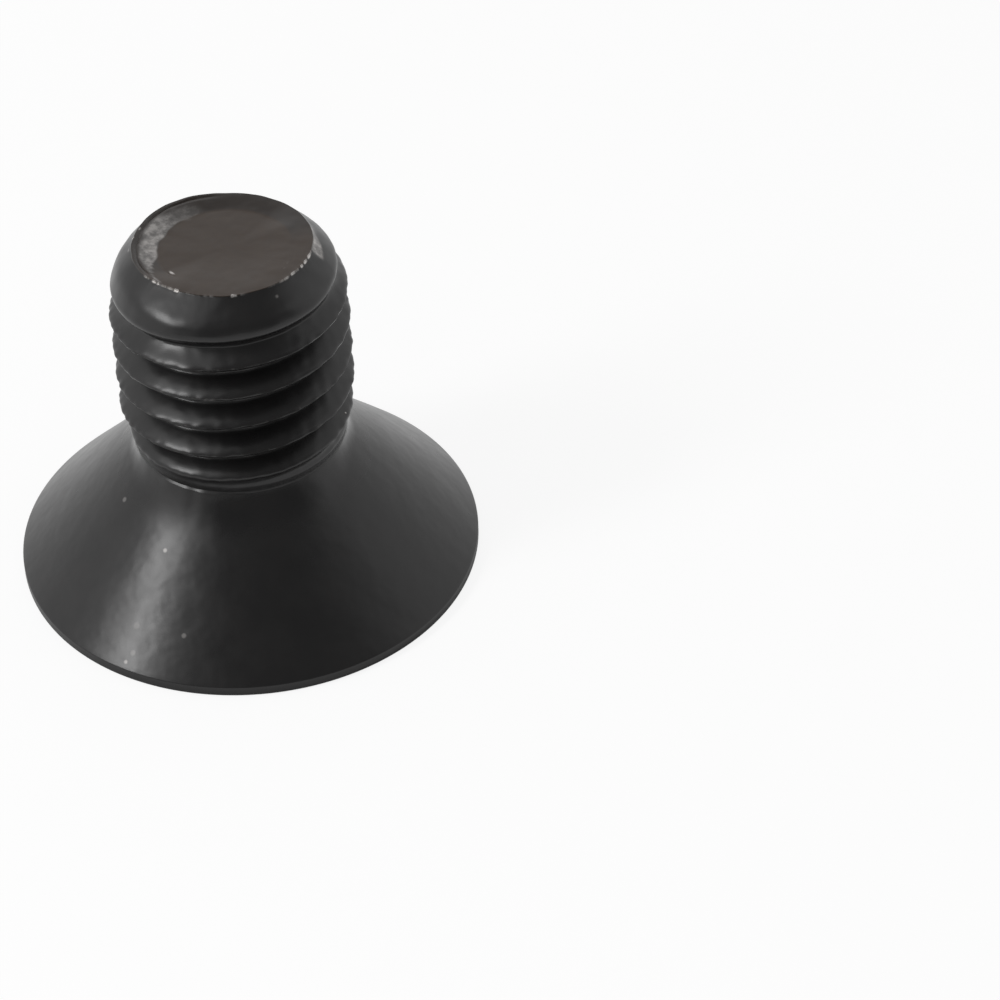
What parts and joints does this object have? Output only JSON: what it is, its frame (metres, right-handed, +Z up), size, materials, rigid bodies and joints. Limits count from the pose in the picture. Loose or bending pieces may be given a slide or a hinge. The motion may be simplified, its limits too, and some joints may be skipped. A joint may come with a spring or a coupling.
{
  "type": "countersunk socket screw",
  "caption": "Short countersunk machine screw in black steel, with a hexagon socket in its flat head and a coarse thread up to the neck.",
  "frame": {"origin": "centre of the flat head face, on which the screw stands", "axes": "+Z up the shank to the tip; the hexagon socket opens to -Z, with two of its flats square to Y"},
  "size_m": [0.02, 0.02, 0.016],
  "materials": {
    "black_steel": "satin black oxide, oiled"
  },
  "bodies": {
    "root": {"countersunk_screw": "black_steel"}
  },
  "joints": []
}
